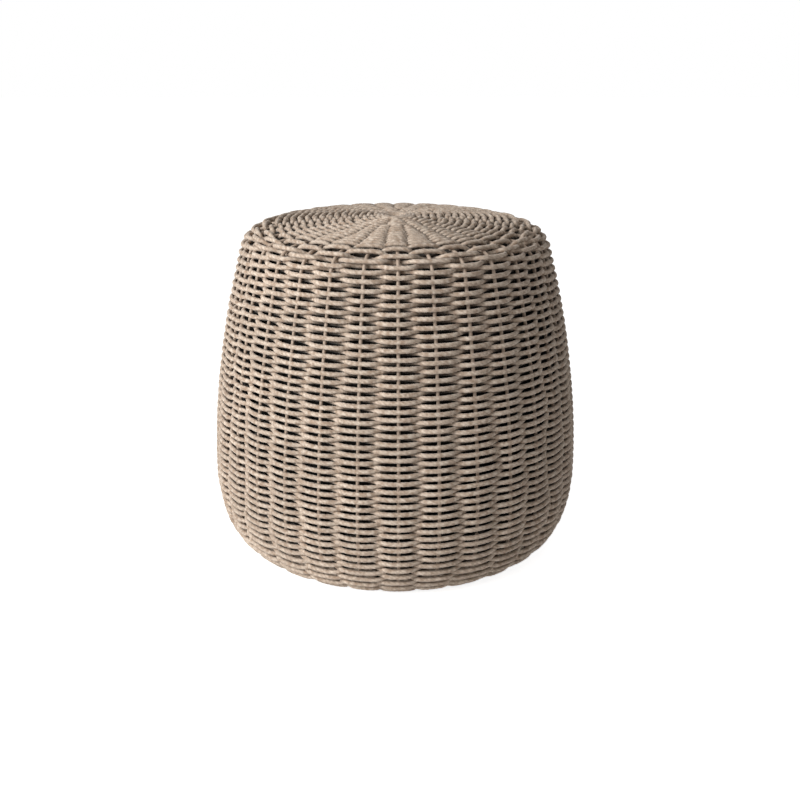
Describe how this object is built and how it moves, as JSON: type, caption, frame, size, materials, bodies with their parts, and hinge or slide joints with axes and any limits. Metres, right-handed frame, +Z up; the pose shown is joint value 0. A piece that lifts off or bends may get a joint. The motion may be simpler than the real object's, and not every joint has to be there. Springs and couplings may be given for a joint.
{
  "type": "outdoor ottoman footstool",
  "caption": "Round barrel-shaped garden footstool of twisted rope plainly woven over thin rods on a welded tube frame, with a gently domed seat and an open underside.",
  "frame": {"origin": "on the ground under the stool's axis, at the middle of the footprint", "axes": "+Z up along the axis of the barrel, -Y towards the front of the picture, +X to its right"},
  "size_m": [0.4998, 0.5, 0.44],
  "materials": {
    "rope": "twisted outdoor rope, matt, taupe",
    "rod": "powder coat matched to the rope",
    "frame": "dark powder coat",
    "glide": "moulded",
    "lining": "black woven cloth, matt"
  },
  "bodies": {
    "root": {"top_weave_over": "rope", "top_weave_under": "rope", "side_weave_outer": "rope", "side_weave_inner": "rope", "inner_lining": "lining", "stake_01": "rod", "stake_02": "rod", "stake_03": "rod", "stake_04": "rod", "stake_05": "rod", "stake_06": "rod", "stake_07": "rod", "stake_08": "rod", "stake_09": "rod", "stake_10": "rod", "stake_11": "rod", "stake_12": "rod", "stake_13": "rod", "stake_14": "rod", "stake_15": "rod", "stake_16": "rod", "stake_17": "rod", "stake_18": "rod", "stake_19": "rod", "stake_20": "rod", "stake_21": "rod", "stake_22": "rod", "stake_23": "rod", "stake_24": "rod", "stake_25": "rod", "stake_26": "rod", "stake_27": "rod", "stake_28": "rod", "stake_29": "rod", "stake_30": "rod", "stake_31": "rod", "hub_disc": "rod", "hub_post": "frame", "seat_ring": "frame", "base_ring": "frame", "seat_bar_front_back": "frame", "seat_bar_left": "frame", "seat_bar_right": "frame", "upright_1": "frame", "upright_2": "frame", "upright_3": "frame", "upright_4": "frame", "glide_1": "glide", "glide_2": "glide", "glide_3": "glide", "glide_4": "glide"}
  },
  "joints": []
}
